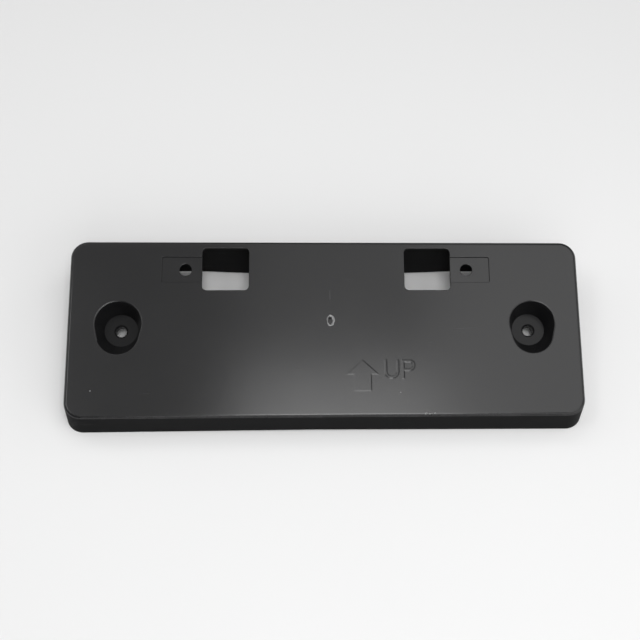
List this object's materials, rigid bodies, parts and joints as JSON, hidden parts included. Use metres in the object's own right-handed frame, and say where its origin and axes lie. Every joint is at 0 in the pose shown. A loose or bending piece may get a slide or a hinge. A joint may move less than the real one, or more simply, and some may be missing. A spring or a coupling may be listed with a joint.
{
  "type": "number plate holder",
  "caption": "Wedge-shaped moulded shell that carries a vehicle number plate: flat face with windows, clip seats and deep screw wells, skirts all round, open at the rear.",
  "frame": {"origin": "centre of the footprint, on the plane that the rear edge rests on", "axes": "+X to the right along the width, +Y toward the upper edge of the face, +Z out of the back plane toward the plate"},
  "size_m": [0.382, 0.1352, 0.0461],
  "materials": {
    "black_plastic": "fine-grained moulded black plastic with a soft satin sheen"
  },
  "bodies": {
    "root": {"plate_holder": "black_plastic"}
  },
  "joints": []
}
